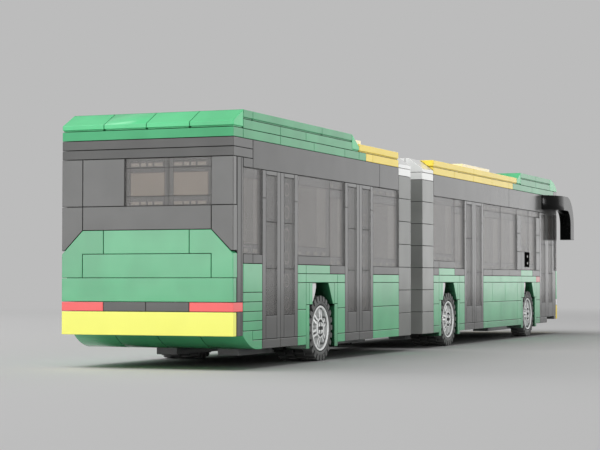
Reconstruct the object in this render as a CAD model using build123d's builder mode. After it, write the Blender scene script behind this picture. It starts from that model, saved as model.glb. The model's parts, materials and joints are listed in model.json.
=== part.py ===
"""Toy articulated bus built of plastic bricks: two body sections hinged at a pivot, on three axles.

The frame: +X forward, +Y to the bus's left, +Z up, origin on the floor under the middle.
Places along the bus are counted in studs from the tail, across it in studs from the centre line,
and upward in plates from the floor, as a builder of such a toy counts them.
"""
import os
from math import cos, pi, sin, sqrt

from build123d import *

# Building grid: lengths in millimetres, heights of larger pieces in plates
stud = 8.0              # pitch of the grid along and across the bus
plate = 3.2             # height of a thin layer, the grid's step upward
seam = 0.12             # gap between neighbouring pieces
brick = 3               # plates in a brick
side_row = 2.5          # plates in a row of tiles set on their side

# Body along, in studs
bus_length = 56         # tail to nose
rear_end = 21           # tail to the front of the rear section's walls
bellows_length = 2      # each bellows half
joint_gap = 2           # open gap between the halves
rear_axle = 10          # ahead of the tail
mid_axle = 6            # ahead of the pivot
front_axle = 8          # behind the nose
face_layer = 1          # tiles and backing of the tail, and of the nose
header_length = 2       # plates over the tail's windows
door_bay = 4            # a door of two leaves
arch_reach = 2          # an axle to the end of its arch
arch_column = 1         # bricks beside an arch
yellow_length = 5       # yellow end of the rear section's roof
front_green_length = 12  # green end of the front section's roof
rear_block_length = 3   # pale raised block on the rear section's roof
front_block_length = 6  # pale raised block on the front section's roof

# Body across, in studs, and up, in plates
half_width = 4          # side walls' outer faces
block_margin = 1        # side wall to a raised roof block
arch_headroom = 1.5     # top of a tyre to the top of its arch
bumper_rise = 1.5       # bottom of the walls to the tail's bumper
nose_bumper_rise = 0.5  # bottom of the walls to the nose's bumper
lamp_height = 1         # row of lamps on the tail, and on the nose
tail_rows = 6           # rows of tiles above the tail's lamps, which set the bus's height
header_height = 2       # plates over the tail's windows
nose_rows = 2           # rows of green tiles on the nose
bellows_bricks = 7      # bricks in a stack of the bellows

# Wheels and axles, in millimetres
tyre_radius = 12.0
tyre_width = 7.5
lug_height = 2.0
lug_length = 1.6        # round the tyre
lug_count = 24
rim_radius = 8.4
rim_wall = 0.8
rim_recess = 0.9        # outer face of a rim to its spokes
hub_radius = 3.6
spoke_count = 6
spoke_width = 2.4
spoke_slot = 0.9        # width of the slot along each spoke
spoke_depth = 2.4
axle_radius = 2.4
axle_arm = 1.8          # thickness of the axle's cross-shaped section
axle_play = 0.06        # radial clearance of an axle or pin in its hole
arch_gap = 0.8          # tyre to arch
twin_gap = 0.3          # between twin tyres
wheel_inset = 0.5       # side wall's outer face to the outer tyre's
bearing_gap = 0.2       # inner tyre to the bearing
rail_reach = 5          # studs that a rail runs to each side of the rear axle
tongue_length = 4       # studs that the tow tongue runs under the rear section
tongue_gap = 0.2        # tongue to the rails' line

# Thin walls and small forms, in millimetres
glass = 1.6             # thickness of clear panels
tile = 3.2              # thickness of a tile set on its side
groove_height = 0.5     # groove around the foot of a tile or slope
groove_depth = 0.4
door_upright = 3.2      # width of a door's upright
door_lintel = 1.6       # strip over a door's panes
pane_count = 3          # panes in a door leaf
slope_lip = 1.5         # upright edge at the foot of a roof slope
corner_reach = 6.4      # green corner piece over a wheel, at its top
liner_reach = 5.4       # pale corner piece over a wheel, at its top
liner_gap = 0.5         # tyre to its foot
liner_inset = 0.8       # side wall's outer face to the pale corner piece

# Mirrors, in millimetres
mirror_reach = 8.0      # how far a mirror stands out from the wall
mirror_depth = 6.2      # size of the arm and head across the bus
mirror_ahead = 1        # studs that the heads reach past the nose
mirror_root = 4.5       # studs from the nose back to the end of the arm
mirror_bend = 2         # studs from the nose back to the arm's bend

# Places along the bus, in studs from the tail
pivot_place = rear_end + bellows_length + joint_gap / 2
front_bellows = pivot_place + joint_gap / 2
front_start = front_bellows + bellows_length
mid_place = pivot_place + mid_axle
front_place = bus_length - front_axle
nose_layer = bus_length - face_layer
arch_end = arch_reach + arch_column
rear_bay = (rear_axle - arch_end, rear_axle + arch_end)
mid_bay = (front_start, mid_place + arch_end)
front_bay = (front_place - arch_end, front_place + arch_end)
first_door = (rear_bay[0] - door_bay, rear_bay[0])
second_door = (rear_bay[1], rear_bay[1] + door_bay)
third_door = (mid_bay[1], mid_bay[1] + door_bay)
fourth_door = (front_bay[1], nose_layer)
tail_bay = (face_layer, first_door[0])
shoulder = (second_door[1], rear_end)
saloon = (third_door[1], front_bay[0])
front_column = front_bay[0] + arch_column

# Heights, in plates from the floor: the body sits over its wheels
arch_top = 2 * tyre_radius / plate + arch_headroom
course = arch_top - brick
sill = course - brick
wall_foot = sill - 1
bumper_foot = wall_foot + bumper_rise
lamp_foot = bumper_foot + side_row
tail_levels = [lamp_foot + lamp_height + count * side_row for count in range(tail_rows + 1)]
face_top = tail_levels[-1]
roof_foot = face_top + header_height
belt = arch_top + 1
belt_mid = belt + 1
belt_top = belt_mid + 1
pane_top = roof_foot - brick
low_pane_top = pane_top - 1
skirt_top = sill + 1

# Places in millimetres
tail_x = -(bus_length + mirror_ahead) * stud / 2
wall_outer = half_width * stud
wall_inner = wall_outer - stud
arch_half = tyre_radius + arch_gap
wheel_face = wall_outer - wheel_inset
bearing_face = wheel_face - 2 * tyre_width - twin_gap - bearing_gap
right, left = -1, 1
sides = (right, left)

os.makedirs("parts", exist_ok=True)


def along(studs):
    """Place along the bus of a number of studs from the tail."""
    return tail_x + studs * stud


def up(plates):
    """Height above the floor of a number of plates."""
    return plates * plate


def save(built, name):
    """Label a finished sub-part and write it to its file."""
    built.part.label = name
    export_step(built.part, f"parts/{name}.step")


def split(span, *parts):
    """Neighbouring spans that share a span out in the given proportion."""
    first, last = span
    places = [first + (last - first) * sum(parts[:count]) / sum(parts) for count in range(len(parts) + 1)]
    return list(zip(places, places[1:]))


def row(foot, top, *spans):
    """Wall pieces between two heights. Columns: foot, top, first stud, last stud."""
    return [(foot, top, *span) for span in spans]


def elevation(rows, shrink_x=0.0, shrink_z=0.0):
    """Faces of wall pieces in the current side sketch. Columns: foot, top, first stud, last stud."""
    for foot, top, first, last in rows:
        with Locations(((along(first) + along(last)) / 2, (up(foot) + up(top)) / 2)):
            Rectangle((last - first) * stud - seam - shrink_x, (top - foot) * plate - seam - shrink_z)


def wall_plane(side, inset=0.0):
    """Plane from which a wall's sketch is pushed to the bus's right, to end inset inside the wall."""
    return Plane.XZ.offset(wall_inner if side == right else inset - wall_outer)


def wall_pieces(name, rows_right, rows_left):
    """Plain wall pieces, a stud deep, on both sides of a section."""
    with BuildPart() as pieces:
        for side, rows in ((right, rows_right), (left, rows_left)):
            with BuildSketch(wall_plane(side)):
                elevation(rows)
            extrude(amount=stud)
    save(pieces, name)


def window_pieces(name, rows_right, rows_left, edge=glass, ledge=plate):
    """Clear wall panels: a thin outer wall with deeper edges, open towards the inside."""
    with BuildPart() as pieces:
        for side, rows in ((right, rows_right), (left, rows_left)):
            with BuildSketch(wall_plane(side)):
                elevation(rows)
            extrude(amount=stud)
            with BuildSketch(wall_plane(side, glass)):
                elevation(rows, 2 * edge, 2 * ledge)
            extrude(amount=stud - glass, mode=Mode.SUBTRACT)
    save(pieces, name)


def roof_pieces(name, plates=(), tiles=()):
    """Roof layers. Columns: first stud, last stud, half width in studs, foot, top."""
    with BuildPart() as pieces:
        for first, last, half, foot, top in plates:
            with BuildSketch(Plane.XY.offset(up(foot) + seam / 2)):
                with Locations(((along(first) + along(last)) / 2, 0)):
                    Rectangle((last - first) * stud - seam, 2 * half * stud - seam)
            extrude(amount=up(top) - up(foot) - seam)
        for first, last, half, foot, top in tiles:
            base = up(foot) + seam / 2
            with BuildSketch(Plane.XY.offset(base)):
                with Locations(((along(first) + along(last)) / 2, 0)):
                    Rectangle((last - first) * stud - 2 * groove_depth, 2 * half * stud - 2 * groove_depth)
            extrude(amount=groove_height)
            with BuildSketch(Plane.XY.offset(base + groove_height)):
                with Locations(((along(first) + along(last)) / 2, 0)):
                    Rectangle((last - first) * stud - seam, 2 * half * stud - seam)
            extrude(amount=up(top) - up(foot) - groove_height - seam)
    save(pieces, name)


def arch_columns(bay, axle):
    """Green bricks at both ends of a wheel arch."""
    ends = (bay[0], axle - arch_reach), (axle + arch_reach, bay[1])
    return row(course, arch_top, *ends) + row(sill, course, *ends) + row(wall_foot, sill, *ends)


def blind_door(door):
    """Green and dark pieces that close the left wall opposite a door."""
    green = row(wall_foot, course, door) + row(course, belt, *split(door, 1, 1))
    return green, row(belt, belt_top, door)


# Rear section's walls
rear_tall_pane, rear_low_pane = split(rear_bay, 4, 2)
rear_green = [
    *row(belt_mid - brick, belt_mid, tail_bay),
    *[(*level, *tail_bay) for level in split((skirt_top, belt_mid - brick), 1, 1, 1, 1)],
    *row(sill, skirt_top, split(tail_bay, 1, 1)[1]),
    *row(belt, belt_mid, *split(rear_tall_pane, 1, 3)),
    *row(arch_top, belt, *split(rear_bay, 1, 4, 1)),
    *arch_columns(rear_bay, rear_axle),
    *row(arch_top, belt, shoulder),
    *row(course, arch_top, shoulder),
    *row(sill, course, shoulder),
    *row(wall_foot, sill, shoulder),
]
rear_dark = [
    *row(belt_mid, belt_top, *split(tail_bay, 1, 1)),
    *row(belt_mid, belt_top, rear_tall_pane),
    *row(belt, belt_mid, rear_low_pane, shoulder),
    *row(pane_top, pane_top + 1, (face_layer, header_length)),
    *row(pane_top, roof_foot, *split((header_length, rear_end), 16, 3)),
]
rear_windows = row(belt_top, pane_top, tail_bay, rear_tall_pane)
rear_windows += row(belt_mid, low_pane_top, rear_low_pane, shoulder)
rear_clear = row(low_pane_top, pane_top, rear_low_pane, shoulder)

# Front section's walls
mid_tall_pane, mid_low_pane = split(mid_bay, 4, 2)
front_last_column = (front_bay[1] - arch_column, front_bay[1])
front_button_pane, front_pane = split((front_column, front_last_column[0]), 2, 2)
front_button_bricks = split(front_button_pane, 1, 1)
front_green = [
    *row(belt, belt_mid, split(mid_tall_pane, 1, 3)[1]),
    *row(arch_top, belt, *split(mid_bay, 1, 4, 1)),
    *arch_columns(mid_bay, mid_place),
    *arch_columns(front_bay, front_place),
    *row(arch_top, belt, *split((saloon[0], front_last_column[0]), 4, 5, 4)),
    *row(belt, belt_mid, split((front_column, front_bay[1]), 3, 2)[0]),
    *row(course, arch_top, *split(saloon, 2, 3, 3)),
    *row(sill, course, *split(saloon, 4, 4)),
    *row(wall_foot, sill, *split(saloon, 1, 4, 3)),
]
front_dark = [
    *row(belt_mid, belt_top, *split(mid_tall_pane, 1, 3)),
    *row(belt, belt_mid, split(mid_tall_pane, 1, 3)[0], mid_low_pane),
    *row(belt, belt_mid, *split((saloon[0], front_column), 2, 4, 3)),
    *row(belt, belt_mid, split((front_column, front_bay[1]), 3, 2)[1]),
    *row(belt_mid, belt_mid + brick, *front_button_bricks),
    *row(pane_top, roof_foot, *split((front_start, nose_layer), 16, 12)),
]
for level in split((belt_mid, low_pane_top), 1, 1, 1):
    front_dark += row(*level, (front_bay[0], front_column), front_last_column)
front_windows = row(belt_top, pane_top, mid_tall_pane)
front_windows += row(belt_mid, low_pane_top, mid_low_pane, *split(saloon, 1, 1), front_pane)
front_windows += row(belt_mid + brick, low_pane_top, front_button_pane)
front_clear = row(low_pane_top, pane_top, mid_low_pane, *split(saloon, 1, 1), *split(front_bay, 1, 1))

# The left wall has panes opposite the doors
left_rows = {}
for section, doors in (("rear", (first_door, second_door)), ("front", (third_door, fourth_door))):
    green, dark = [], []
    for door in doors:
        door_green, door_dark = blind_door(door)
        green += door_green
        dark += door_dark
    left_rows[section] = green, dark, row(belt_top, pane_top, *doors)

rear_blind_green, rear_blind_dark, rear_blind_panes = left_rows["rear"]
front_blind_green, front_blind_dark, front_blind_panes = left_rows["front"]
wall_pieces("rear_wall_green", rear_green, rear_green + rear_blind_green)
wall_pieces("rear_wall_dark", rear_dark, rear_dark + rear_blind_dark)
window_pieces("rear_windows", rear_windows, rear_windows + rear_blind_panes)
wall_pieces("rear_clear_strips", rear_clear, rear_clear)
wall_pieces("front_wall_green", front_green, front_green + front_blind_green)
wall_pieces("front_wall_dark", front_dark, front_dark + front_blind_dark)
window_pieces("front_windows", front_windows, front_windows + front_blind_panes)
wall_pieces("front_clear_strips", front_clear, front_clear)

# Side markers and door button
wall_pieces("side_markers", row(arch_top, belt, front_last_column), row(arch_top, belt, front_last_column))

with BuildPart() as door_button:
    with BuildSketch(Plane.XZ.offset(wall_outer + seam / 2)):
        button_place = sum(front_button_bricks[1]) / 2
        with Locations((along(button_place), up(belt_mid + brick) - stud / 2)):
            Rectangle(stud - seam, stud - seam)
    extrude(amount=glass)
save(door_button, "door_button")


# Doors, on the right side
pane_foot = up(sill) + stud
pane_head = up(pane_top) - door_lintel
pane_height = (pane_head - pane_foot) / pane_count
upright_seam = sill + 6 * side_row


def leaf_columns(door):
    """Middle and width of each leaf of a door, and the side of its outer upright."""
    width = (door[1] - door[0]) / 2 * stud
    return ((along(door[0]) + width / 2, width, -1), (along(door[1]) - width / 2, width, 1))


def upright(x, foot, top):
    """One length of an upright in the current side sketch, between two heights in plates."""
    with Locations((x, (up(foot) + up(top)) / 2)):
        Rectangle(door_upright - seam, up(top) - up(foot) - seam)


def door_frames(name, doors, sills):
    """Sills, uprights, closed lower panels and lintels of the doors."""
    with BuildPart() as frames:
        with BuildSketch(wall_plane(right)):
            elevation(row(wall_foot, sill, *sills))
            for door in doors:
                for middle, width, outer_side in leaf_columns(door):
                    inner = width - 2 * door_upright
                    reach = outer_side * (width - door_upright) / 2
                    upright(middle + reach, sill, upright_seam)
                    upright(middle + reach, upright_seam, pane_top)
                    upright(middle - reach, sill, pane_top)
                    with Locations((middle, up(sill) + stud / 2)):
                        Rectangle(inner - seam, stud - seam)
                    with Locations((middle, (pane_head + up(pane_top)) / 2)):
                        Rectangle(inner - seam, up(pane_top) - pane_head - seam)
        extrude(amount=stud)
    save(frames, name)


def door_panes(name, doors):
    """Clear bricks set on their side between the uprights, hollow towards the inside."""
    with BuildPart() as panes:
        for hollow in (False, True):
            edge = 2 * glass if hollow else seam
            with BuildSketch(wall_plane(right)):
                for door in doors:
                    for middle, width, outer_side in leaf_columns(door):
                        inner = width - 2 * door_upright
                        for pane in range(pane_count):
                            with Locations((middle, pane_foot + (pane + 0.5) * pane_height)):
                                Rectangle(inner - edge, pane_height - edge)
            if hollow:
                extrude(amount=stud - glass, mode=Mode.SUBTRACT)
            else:
                extrude(amount=stud)
    save(panes, name)


door_frames("rear_door_frames", (first_door, second_door), split(first_door, 1, 1) + split(second_door, 1, 1))
door_panes("rear_door_panes", (first_door, second_door))
door_frames("front_door_frames", (third_door, fourth_door), split(third_door, 1, 1) + split(fourth_door, 1, 1)[:1])
door_panes("front_door_panes", (third_door, fourth_door))


# Wheel arches: upright tiles, a green corner piece ahead of the wheel and a pale one behind it
corner_foot = arch_top - side_row
tile_foot = corner_foot - 2 * side_row


def fenders(name, axles):
    """Green tiles set upright and sloping corner pieces around each wheel, on both sides."""
    with BuildPart() as pieces:
        for side in sides:
            with BuildSketch(wall_plane(side)):
                for axle in axles:
                    for end in (-1, 1):
                        outer = along(axle) + end * (arch_reach * stud - seam / 2)
                        inner = along(axle) + end * arch_half
                        middle = (outer + inner) / 2
                        with Locations((middle, (up(tile_foot) + up(corner_foot)) / 2)):
                            Rectangle(abs(outer - inner), up(corner_foot) - up(tile_foot) - seam)
                        with Locations((middle, (up(corner_foot) + up(arch_top)) / 2)):
                            Rectangle(abs(outer - inner), up(arch_top) - up(corner_foot) - seam)
                    with Locations((along(axle) - arch_half + tile / 2, (up(corner_foot) + up(arch_top)) / 2)):
                        Rectangle(tile - seam, up(arch_top) - up(corner_foot) - seam)
                    base = along(axle) + arch_half - seam
                    low = up(corner_foot) + seam / 2
                    high = up(arch_top) - seam / 2
                    Polygon((base, low), (base - slope_lip, low), (base - corner_reach, high), (base, high), align=None)
            extrude(amount=stud)
    save(pieces, name)


def liners(name, axles):
    """Pale corner pieces behind each wheel's top, on both sides."""
    with BuildPart() as pieces:
        for side in sides:
            for axle in axles:
                base = along(axle) - arch_half + tile
                low = up(corner_foot) + seam / 2
                high = up(arch_top) - seam / 2
                foot = along(axle) - sqrt(tyre_radius ** 2 - (low - tyre_radius) ** 2) - liner_gap
                with BuildSketch(Plane.XZ.offset(wall_inner if side == right else liner_inset - wall_outer)):
                    with BuildLine():
                        Polyline(
                            (foot, low), (base, low), (base, high), (base + liner_reach, high),
                            (base + liner_reach, high - slope_lip))
                        TangentArc((base + liner_reach, high - slope_lip), (foot, low), tangent=(-0.3, -1))
                    make_face()
                extrude(amount=stud - liner_inset)
    save(pieces, name)


fenders("rear_fenders", (rear_axle,))
fenders("front_fenders", (mid_place, front_place))
liners("rear_liners", (rear_axle,))
liners("front_liners", (mid_place, front_place))


# Tail and nose: tiles set on their side over backing slabs
half = half_width
nose_x = along(bus_length)
foot_row = tail_levels[0]
low_row, mid_row, high_row, window_level = tail_levels[-6:-2]
nose_bumper_foot = wall_foot + nose_bumper_rise
nose_lamp_foot = nose_bumper_foot + side_row
nose_levels = [nose_lamp_foot + lamp_height + count * side_row for count in range(nose_rows + 1)]
nose_green_rows = list(zip(nose_levels, nose_levels[1:]))


def face_rows(rows, shrink=0.0):
    """Faces of tiles in the current cross sketch. Columns: right edge, left edge, foot, top."""
    for low_y, high_y, foot, top in rows:
        with Locations(((low_y + high_y) / 2 * stud, (up(foot) + up(top)) / 2)):
            Rectangle((high_y - low_y) * stud - seam - 2 * shrink, up(top) - up(foot) - seam - 2 * shrink)


def face_pieces(name, face_x, inward, rows, outlines=()):
    """Tiles set on their side, grooved at their foot, and tiles of other outlines."""
    body = tile - groove_height
    with BuildPart() as tiles:
        for start, thick, shrink in ((0, body, 0), (body, groove_height, groove_depth)):
            with BuildSketch(Plane.YZ.offset(face_x + inward * start)):
                face_rows(rows, shrink)
            extrude(amount=inward * thick)
        for outline in outlines:
            with BuildSketch(Plane.YZ.offset(face_x)):
                Polygon(*[(y * stud, up(level)) for y, level in outline], align=None)
                offset(amount=-seam / 2, kind=Kind.INTERSECTION)
            extrude(amount=inward * tile)
    save(tiles, name)


def mirrored(outline):
    """The same outline on the other side of the centre line."""
    return [(-y, level) for y, level in outline]


green_wedge = [
    (half - 2, mid_row), (half - 2, high_row), (half - 1, high_row), (half, mid_row),
    (half, low_row), (half - 1, low_row), (half - 1, mid_row),
]
wedge_tip = mid_row + side_row / 8
dark_wedge = [
    (half - 1, high_row), (half - 1, window_level), (half, window_level),
    (half, wedge_tip), (half - 0.12, wedge_tip),
]
face_pieces(
    "tail_tiles_green", tail_x, 1,
    [
        *[(-half, half, *level) for level in zip(tail_levels[:-6], tail_levels[1:-5])],
        (-half + 1, half - 1, low_row, mid_row),
        (-half + 2, half - 2, mid_row, high_row),
    ],
    (green_wedge, mirrored(green_wedge)))
face_pieces(
    "tail_tiles_dark", tail_x, 1,
    [
        (-half + 1, half - 1, high_row, window_level),
        (half - 1, half, window_level, face_top),
        (1, half - 1, window_level, face_top),
        (-half, -half + 1, window_level, face_top),
        (0, half / 2, lamp_foot, foot_row),
        (-half / 2, 0, lamp_foot, foot_row),
    ],
    (dark_wedge, mirrored(dark_wedge)))
face_pieces("tail_bumper", tail_x, 1, [(-half, half, bumper_foot, lamp_foot)])

with BuildPart() as tail_lamps:
    with BuildSketch(Plane.YZ.offset(tail_x)):
        face_rows([(half / 2, half, lamp_foot, foot_row), (-half, -half / 2, lamp_foot, foot_row)])
    extrude(amount=face_layer * stud - seam)
save(tail_lamps, "tail_lamps")

tail_window_rows = [(-1, 1, window_level, face_top), (-half + 1, -1, window_level, face_top)]
window_hole = (-half + 1, 1, window_level, face_top)
backing_layers = [(tile + seam, 2 * tile), (2 * tile + seam, face_layer * stud - seam)]
with BuildPart() as tail_backing:
    for start, end in backing_layers:
        with BuildSketch(Plane.YZ.offset(tail_x + start)):
            face_rows([(-half, half, bumper_foot, lamp_foot), (-half / 2, half / 2, lamp_foot, foot_row)])
            face_rows([(-half, half, foot_row, face_top)])
            low_y, high_y, foot, top = window_hole
            with Locations(((low_y + high_y) / 2 * stud, (up(foot) + up(top)) / 2)):
                Rectangle((high_y - low_y) * stud + seam, up(top) - up(foot) + seam, mode=Mode.SUBTRACT)
        extrude(amount=end - start)
save(tail_backing, "tail_backing")

with BuildPart() as tail_windows:
    with BuildSketch(Plane.YZ.offset(tail_x)):
        face_rows(tail_window_rows)
    extrude(amount=face_layer * stud - seam)
    with BuildSketch(Plane.YZ.offset(tail_x + glass)):
        for low_y, high_y, foot, top in tail_window_rows:
            with Locations(((low_y + high_y) / 2 * stud, (up(foot) + up(top)) / 2)):
                Rectangle((high_y - low_y) * stud - 2 * glass, up(top) - up(foot) - 2 * plate)
    extrude(amount=face_layer * stud, mode=Mode.SUBTRACT)
save(tail_windows, "tail_windows")

# Curved skirts under the tail, four across
skirt_start, skirt_end = along(tail_bay[0]) + seam / 2, along(tail_bay[1]) - seam / 2
skirt_step = along(sum(tail_bay) / 2) - seam / 2
with BuildPart() as tail_skirts:
    for low_y, high_y in split((-half, half), 1, 1, 1, 1):
        with BuildSketch(Plane.XZ.offset(-high_y * stud + seam / 2)):
            with BuildLine():
                back = (skirt_start, up(bumper_foot) + seam)
                foot = (skirt_end - tile, up(wall_foot))
                Polyline(
                    foot, (skirt_end, up(wall_foot)), (skirt_end, up(sill) - seam / 2),
                    (skirt_step, up(sill) - seam / 2), (skirt_step, up(skirt_top) - seam / 2),
                    (skirt_start, up(skirt_top) - seam / 2), back)
                TangentArc(foot, back, tangent=(-1, 0))
            make_face()
        extrude(amount=(high_y - low_y) * stud - seam)
save(tail_skirts, "tail_skirts")

# Nose, with dark tiles at the corners beside the windscreen
screen_foot = nose_levels[-1]
post_width = tile / stud
face_pieces("nose_bumper", nose_x, -1, [(-half, half, nose_bumper_foot, nose_lamp_foot)])
lamp_rows = [(half / 2, half, nose_lamp_foot, nose_levels[0]), (-half, -half / 2, nose_lamp_foot, nose_levels[0])]
face_pieces("nose_lamps", nose_x, -1, lamp_rows)
face_pieces(
    "nose_tiles_green", nose_x, -1,
    [(-half, half, *level) for level in nose_green_rows[:1]]
    + [(*edges, *level) for level in nose_green_rows[1:] for edges in ((-half, 0), (0, half))])
face_pieces(
    "nose_tiles_dark", nose_x, -1,
    [
        (-half / 2, half / 2, nose_lamp_foot, nose_levels[0]),
        (-half, half, pane_top, roof_foot),
        (half - post_width, half, screen_foot, pane_top),
        (-half, -half + post_width, screen_foot, pane_top),
    ])

screen_post = wall_outer - tile
backing_thick = face_layer * stud - tile - 2 * seam
with BuildPart() as nose_backing:
    with BuildSketch(Plane.YZ.offset(along(nose_layer) + seam)):
        face_rows([(-half, half, nose_bumper_foot, screen_foot), (-half, half, pane_top, roof_foot)])
    extrude(amount=backing_thick)
save(nose_backing, "nose_backing")

with BuildPart() as windscreen:
    with BuildSketch(Plane.YZ.offset(along(nose_layer) + seam)):
        face_rows([(-half, half, screen_foot, pane_top)])
    extrude(amount=backing_thick)
    with BuildSketch(Plane.YZ.offset(along(nose_layer) + seam)):
        with Locations((0, (up(screen_foot) + up(pane_top)) / 2)):
            Rectangle(2 * screen_post - 2 * seam, up(pane_top) - up(screen_foot) - seam)
    extrude(amount=face_layer * stud - seam)
    with BuildSketch(Plane.YZ.offset(along(nose_layer))):
        with Locations((0, (up(screen_foot) + up(pane_top)) / 2)):
            Rectangle(2 * screen_post - 2 * glass, up(pane_top) - up(screen_foot) - 2 * plate)
    extrude(amount=face_layer * stud - glass, mode=Mode.SUBTRACT)
save(windscreen, "windscreen")


# Roof: a layer of plates, a layer of plates or tiles on it, and tiles, slopes and blocks on top
low_layer, mid_layer, top_layer, roof_top = (roof_foot + count for count in range(4))
rear_split = rear_end - yellow_length
rear_slope_place = rear_split - 1
front_split = bus_length - front_green_length
curve_start = bus_length - 2


def layer(span, foot, *parts):
    """One layer of full-width roof pieces. Columns: first stud, last stud, half width, foot, top."""
    return [(first, last, half, foot, foot + 1) for first, last in split(span, *parts)]


def slopes(name, slope_places, curve_places=()):
    """Roof slopes, four across. Columns: stud at the low edge, and the way it faces along the bus."""
    base = up(mid_layer) + seam / 2
    with BuildPart() as pieces:
        for low_y, high_y in split((-half, half), 1, 1, 1, 1):
            width = (high_y - low_y) * stud
            for low_place, facing in slope_places:
                low_x = along(low_place) - facing * seam / 2
                high_x = along(low_place) - facing * (stud - seam / 2)
                with BuildSketch(Plane.XY.offset(base)):
                    with Locations(((low_x + high_x) / 2, (low_y + high_y) / 2 * stud)):
                        Rectangle(stud - 2 * groove_depth, width - 2 * groove_depth)
                extrude(amount=groove_height)
                with BuildSketch(Plane.XZ.offset(-high_y * stud + seam / 2)):
                    Polygon(
                        (low_x, base + groove_height), (low_x, base + groove_height + slope_lip),
                        (high_x, up(roof_top) - seam), (high_x, base + groove_height), align=None)
                extrude(amount=width - seam)
            for start, end in curve_places:
                with BuildSketch(Plane.XZ.offset(-high_y * stud + seam / 2)):
                    with BuildLine():
                        high = (along(start) + seam / 2, up(roof_top) - seam / 2)
                        lip = (along(end) - seam, base + slope_lip)
                        Polyline(high, (along(start) + seam / 2, base), (along(end) - seam, base), lip)
                        TangentArc(high, lip, tangent=(1, 0))
                    make_face()
                extrude(amount=width - seam)
    save(pieces, name)


slopes("rear_roof_slopes", [(0, -1), (rear_split - 1, 1)])
slopes("front_roof_slopes", [(front_split + 1, -1)], [(curve_start, bus_length)])
rear_flat = (1, rear_slope_place - 1)
roof_pieces(
    "rear_roof_green",
    layer((0, rear_split), low_layer, 1, 4, 4, 4, 2, 1) + layer(rear_flat, mid_layer, 4, 3, 6),
    layer(rear_flat, top_layer, 1, 8, 4))
roof_pieces(
    "rear_roof_yellow",
    layer((rear_split, rear_end), low_layer, 1, 4),
    layer((rear_slope_place, rear_end), mid_layer, 1))
rear_block = (rear_slope_place, rear_slope_place + rear_block_length)
roof_pieces("rear_roof_cream", tiles=[(*rear_block, half - block_margin, top_layer, roof_top)])
roof_pieces(
    "front_roof_yellow",
    layer((front_start, front_split), low_layer, 4, 4, 4, 4, 1),
    layer((front_start, front_split + 1), mid_layer, 8, 10))
front_flat = (front_split + 2, curve_start)
roof_pieces(
    "front_roof_green",
    layer((front_split, nose_layer), low_layer, 5, 6) + layer(front_flat, mid_layer, 4, 4),
    layer(front_flat, top_layer, 4, 4))
front_block_end = front_split - 2
front_block = (front_block_end - front_block_length, front_block_end)
roof_pieces("front_roof_cream", tiles=[(*front_block, half - block_margin, top_layer, roof_top)])
roof_pieces("nose_header", [(nose_layer, bus_length, half, low_layer, mid_layer)])
roof_pieces("tail_header", [(0, header_length, half, *level) for level in split((face_top, roof_foot), 1, 1)])


# Bellows: stacked bricks in the walls, with a white bridge and sloping caps on top
bellows_top = roof_foot - 1


def bellows(section, first):
    """One bellows half of a section, starting at a stud."""
    last = first + bellows_length
    rows = [(*level, first, last) for level in split((wall_foot, bellows_top), *[1] * bellows_bricks)]
    wall_pieces(f"{section}_bellows_bricks", rows, rows)
    length = bellows_length * stud - seam
    middle = (along(first) + along(last)) / 2
    with BuildPart() as caps:
        with BuildSketch(Plane.XY.offset(up(bellows_top) + seam / 2)):
            with Locations((middle, 0)):
                Rectangle(length, 2 * wall_outer - seam)
        extrude(amount=up(roof_foot) - up(bellows_top) - seam)
        with BuildSketch(Plane.XY.offset(up(roof_foot) + seam / 2)):
            with Locations((middle, 0)):
                Rectangle(length, 2 * wall_inner - seam)
        extrude(amount=2 * plate - seam)
        for side in sides:
            foot, top = up(roof_foot) + seam / 2, up(roof_foot + 2) - seam / 2
            inner, outer = side * (wall_inner + seam / 2), side * (wall_outer - seam / 2)
            with BuildSketch(Plane.YZ.offset(along(first) + seam / 2)):
                Polygon(
                    (inner, foot), (outer, foot), (outer, foot + slope_lip),
                    (inner + side * slope_lip, top), (inner, top), align=None)
            extrude(amount=length)
    save(caps, f"{section}_bellows_caps")


bellows("rear", rear_end)
bellows("front", front_bellows)


# Chassis: floors with wheel wells, rails, axle bearings, tow tongue and pivot pin
pivot_boss = stud - tongue_gap
floor_foot = up(wall_foot) + seam
floor_top = up(sill)
rail_foot = up(wall_foot - 1)
well_width = wall_outer - bearing_face


def floor_sketch(first, last, axles):
    """A section's floor between its walls, open around the wheels."""
    with Locations(((along(first) + along(last)) / 2, 0)):
        Rectangle((last - first) * stud - seam, 2 * wall_inner - seam)
    for axle in axles:
        for side in sides:
            with Locations((along(axle), side * (bearing_face + well_width / 2))):
                Rectangle(2 * arch_half, well_width, mode=Mode.SUBTRACT)


def rail_sketch(spans):
    """Rails a stud wide on both sides of the centre line, between two studs."""
    for first, last in spans:
        for side in sides:
            with Locations(((along(first) + along(last)) / 2, side * (bearing_face - stud / 2))):
                Rectangle((last - first) * stud, stud)


def cover_sketch(axles):
    """Covers between the walls over each pair of wheels."""
    for axle in axles:
        with Locations((along(axle), 0)):
            Rectangle(2 * arch_reach * stud - seam, 2 * wall_inner - seam)


def bearings(axles):
    """Bearing bricks on both sides of the centre line, with the axle's hole through them."""
    for axle in axles:
        with Locations(*[(along(axle), side * (bearing_face - stud / 2), floor_foot) for side in sides]):
            Box(2 * stud, stud, brick * plate, align=(Align.CENTER, Align.CENTER, Align.MIN))
    for axle in axles:
        with Locations((along(axle), 0, tyre_radius)):
            Cylinder(axle_radius + axle_play, 2 * wall_outer, rotation=(90, 0, 0), mode=Mode.SUBTRACT)


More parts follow.
